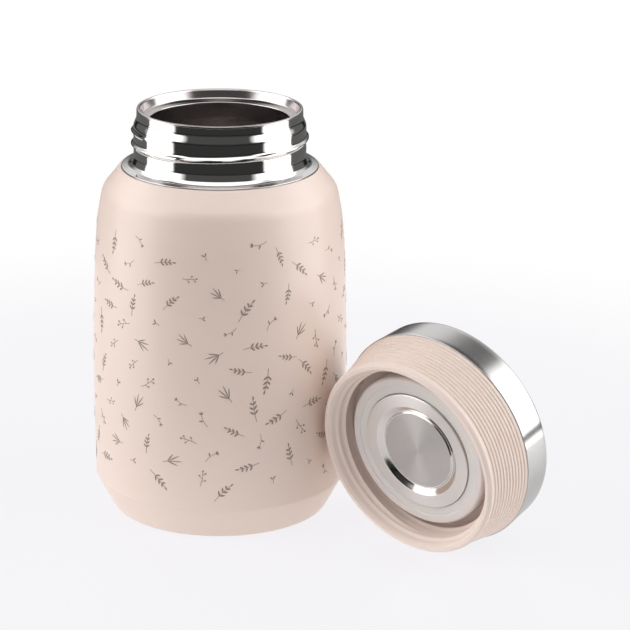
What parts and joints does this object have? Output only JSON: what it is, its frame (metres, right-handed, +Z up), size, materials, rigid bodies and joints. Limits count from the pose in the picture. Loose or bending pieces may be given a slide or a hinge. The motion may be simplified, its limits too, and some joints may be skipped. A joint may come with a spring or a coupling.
{
  "type": "insulated food jar",
  "caption": "Vacuum-insulated steel food jar with a printed cream body and polished threaded neck; its screw lid, with seal and steel face plate, lies on its side beside it.",
  "frame": {"origin": "centre of the jar's flat base ring", "axes": "+Z up along the jar's axis; the lid stands in front and to the right, at +X -Y"},
  "size_m": [0.1578, 0.1219, 0.145],
  "materials": {
    "cream_paint": "satin powder coat with small taupe sprig print",
    "polished_steel": "mirror polished",
    "satin_steel": "satin",
    "brushed_steel": "brushed round the axis",
    "plate_steel": "turned satin",
    "copper_foil": "bright foil",
    "sealing_glass": "fused glass solder",
    "cream_plastic": "fine satin moulding",
    "adhesive": "cured",
    "foam": "closed-cell foam",
    "silicone": "translucent silicone"
  },
  "bodies": {
    "jar": {"outer_shell": "cream_paint", "neck_ring": "polished_steel", "inner_liner": "satin_steel", "outer_base": "cream_paint", "base_cover": "satin_steel", "sealing_bead": "sealing_glass", "getter": "satin_steel", "radiation_foil": "copper_foil"},
    "seal": {"plug_seal": "silicone"},
    "lid": {"lid_shell": "cream_plastic", "steel_cap": "brushed_steel", "cap_adhesive": "adhesive", "lid_insulation": "foam", "plug_insulation": "foam", "plug_cup": "cream_plastic", "plug_plate": "plate_steel"}
  },
  "joints": [
    {"name": "lid_lift", "type": "slide", "parent": "jar", "child": "seal", "axis": [0, 0, 1], "range_m": [0, 0.2]},
    {"name": "lid_turn", "type": "hinge", "parent": "seal", "child": "lid", "pos_m": [0.06477, -0.05381, 0.03512], "axis": [0.6256, 0.7563, 0.1915], "continuous": true}
  ]
}
